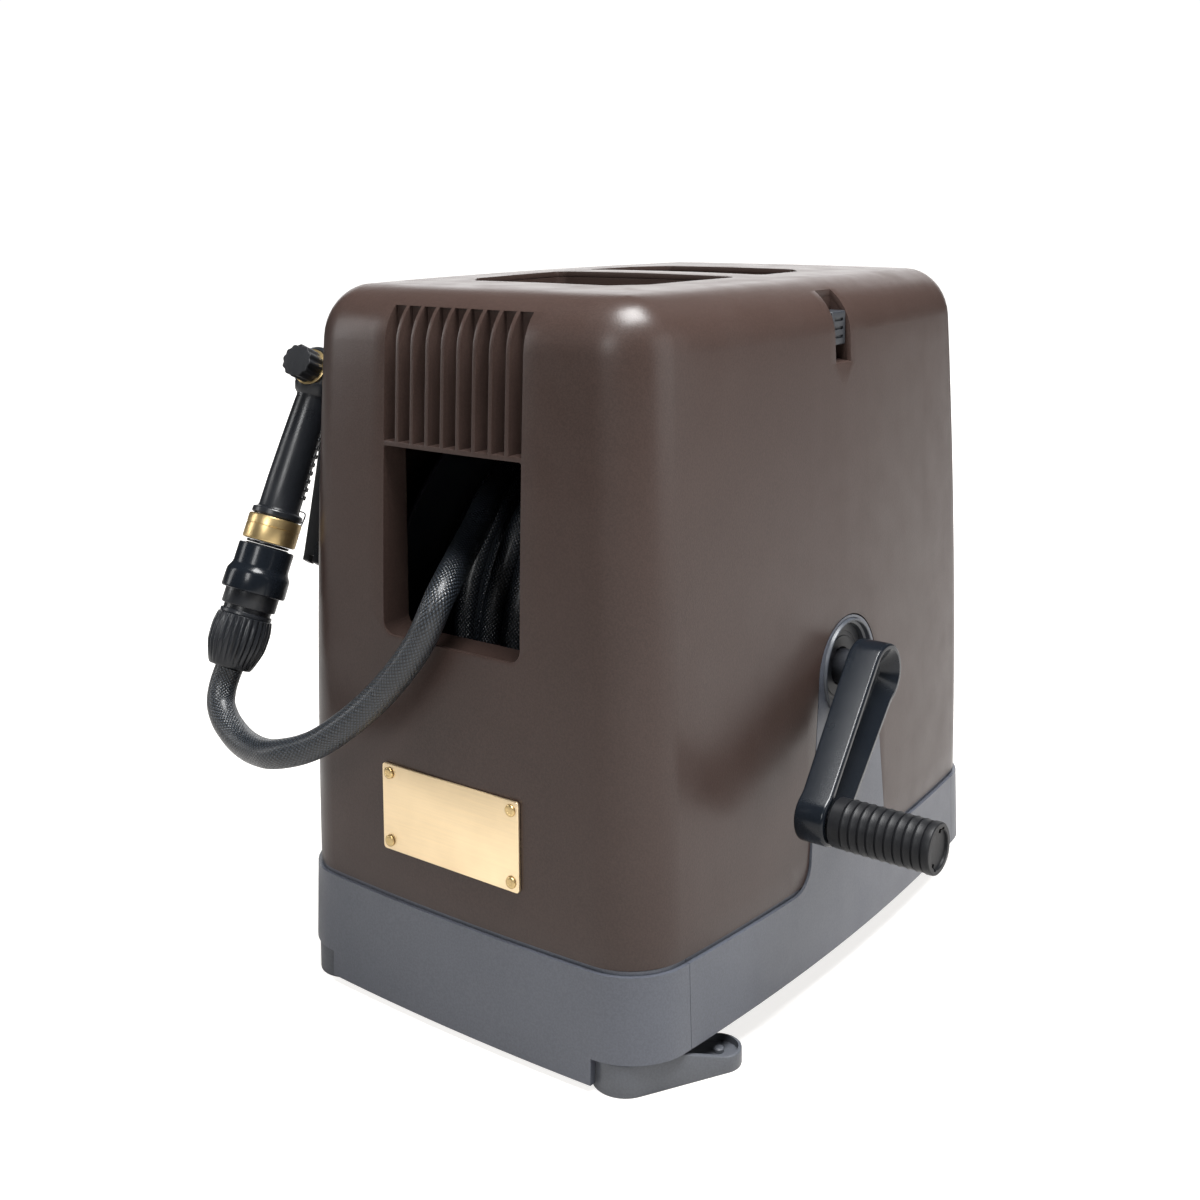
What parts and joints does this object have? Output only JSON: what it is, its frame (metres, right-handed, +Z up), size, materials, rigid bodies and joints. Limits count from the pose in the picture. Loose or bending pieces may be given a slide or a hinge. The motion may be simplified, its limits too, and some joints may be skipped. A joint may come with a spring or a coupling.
{
  "type": "hose reel",
  "caption": "Boxed garden hose reel with a lift-off cover, cranked drum, wound hose led out of a front window and a hung spray gun.",
  "frame": {"origin": "floor point under the middle of the reel's box, the free hose end and its connector left out", "axes": "+Z up, -Y the front with the hose window and nameplate, +X the crank side"},
  "size_m": [0.406, 0.4281, 0.397],
  "materials": {
    "cover_plastic": "fine grained matte brown",
    "base_plastic": "fine grained matte blue grey",
    "hub_plastic": "satin grey",
    "drum_plastic": "satin black",
    "hose": "satin black with a woven layer showing through",
    "gloss_plastic": "glossy black",
    "gun_plastic": "semi-gloss black",
    "grip_plastic": "satin dark grey",
    "latch_plastic": "satin dark grey",
    "plate": "pale lacquered brass, bare",
    "brass": "satin brass",
    "steel": "bright wire and pins",
    "pad": "matte black"
  },
  "bodies": {
    "base": {"base_tray": "base_plastic", "side_panel_right": "base_plastic", "side_panel_left": "base_plastic", "hub_bearing_right": "hub_plastic", "hub_bearing_left": "hub_plastic", "upright_right": "base_plastic", "upright_left": "base_plastic", "rear_foot_right": "base_plastic", "rear_foot_left": "base_plastic", "foot_pad_right": "pad", "foot_pad_left": "pad", "foot_pin_right": "steel", "foot_pin_left": "steel", "inlet_elbow": "drum_plastic", "inlet_nipple": "gun_plastic"},
    "foot_right": {"front_foot_right": "base_plastic"},
    "foot_left": {"front_foot_left": "base_plastic"},
    "cover": {"cover_shell": "cover_plastic", "carry_well": "cover_plastic", "latch_housing_right": "cover_plastic", "latch_housing_left": "cover_plastic", "nameplate": "plate", "plate_rivet_1": "brass", "plate_rivet_2": "brass", "plate_rivet_3": "brass", "plate_rivet_4": "brass", "gun_holder": "drum_plastic", "gun_body": "gun_plastic", "gun_handle": "gun_plastic", "gun_nose": "gun_plastic", "spray_rose": "brass", "knob_ring": "brass", "brass_ring": "brass", "gun_stub": "gun_plastic", "trigger_pin": "steel", "clip_catch": "brass", "connector_body": "gun_plastic", "hose_nut": "gun_plastic", "hose_lead": "hose"},
    "latch_right": {"latch_right": "latch_plastic"},
    "latch_left": {"latch_left": "latch_plastic"},
    "trigger": {"trigger": "gun_plastic"},
    "flow_knob": {"flow_knob": "gun_plastic"},
    "wire_clip": {"wire_clip": "steel"},
    "connector_collar": {"connector_collar": "gloss_plastic"},
    "drum": {"drum_axle": "hub_plastic", "drum_barrel": "drum_plastic", "drum_flange_right": "drum_plastic", "drum_flange_left": "drum_plastic", "hose_inner_layers": "hose", "hose_wound": "hose", "crank_arm": "gloss_plastic", "crank_spindle": "steel"},
    "crank_grip": {"crank_grip": "grip_plastic"}
  },
  "joints": [
    {"name": "cover_lift", "type": "slide", "parent": "base", "child": "cover", "axis": [0, 0, 1], "range_m": [0, 0.36]},
    {"name": "drum_turn", "type": "hinge", "parent": "base", "child": "drum", "pos_m": [-0.02604, 0.00126, 0.1764], "axis": [1, 0, 0], "continuous": true},
    {"name": "grip_turn", "type": "hinge", "parent": "drum", "child": "crank_grip", "pos_m": [-0.02604, -0.08804, 0.12608], "axis": [1, 0, 0], "continuous": true},
    {"name": "foot_right_fold", "type": "hinge", "parent": "base", "child": "foot_right", "pos_m": [0.07296, -0.16974, 0], "axis": [0, 0, 1], "range_deg": [0, 50]},
    {"name": "foot_left_fold", "type": "hinge", "parent": "base", "child": "foot_left", "pos_m": [-0.12504, -0.16974, 0], "axis": [0, 0, 1], "range_deg": [-50, 0]},
    {"name": "latch_right_release", "type": "slide", "parent": "cover", "child": "latch_right", "axis": [0, 0, -1], "range_m": [0, 0.007], "stiffness_N_per_m": 300, "springref_m": -0.002},
    {"name": "latch_left_release", "type": "slide", "parent": "cover", "child": "latch_left", "axis": [0, 0, -1], "range_m": [0, 0.007], "stiffness_N_per_m": 300, "springref_m": -0.002},
    {"name": "trigger_squeeze", "type": "hinge", "parent": "cover", "child": "trigger", "pos_m": [-0.17691, -0.12594, 0.31675], "axis": [-0.9797, -0.1631, 0.1166], "range_deg": [0, 12], "stiffness_Nm_per_rad": 0.5, "springref_deg": -8.59},
    {"name": "knob_turn", "type": "hinge", "parent": "cover", "child": "flow_knob", "pos_m": [-0.17224, -0.13749, 0.33986], "axis": [-0.1953, 0.9072, -0.3726], "range_deg": [0, 270]},
    {"name": "wire_clip_swing", "type": "hinge", "parent": "cover", "child": "wire_clip", "pos_m": [-0.18039, -0.15959, 0.2404], "axis": [0.9797, 0.1631, -0.1166], "range_deg": [-40, 0]},
    {"name": "collar_pull", "type": "slide", "parent": "cover", "child": "connector_collar", "axis": [-0.045, -0.3878, -0.9206], "range_m": [0, 0.0045], "stiffness_N_per_m": 800, "springref_m": -0.002}
  ]
}
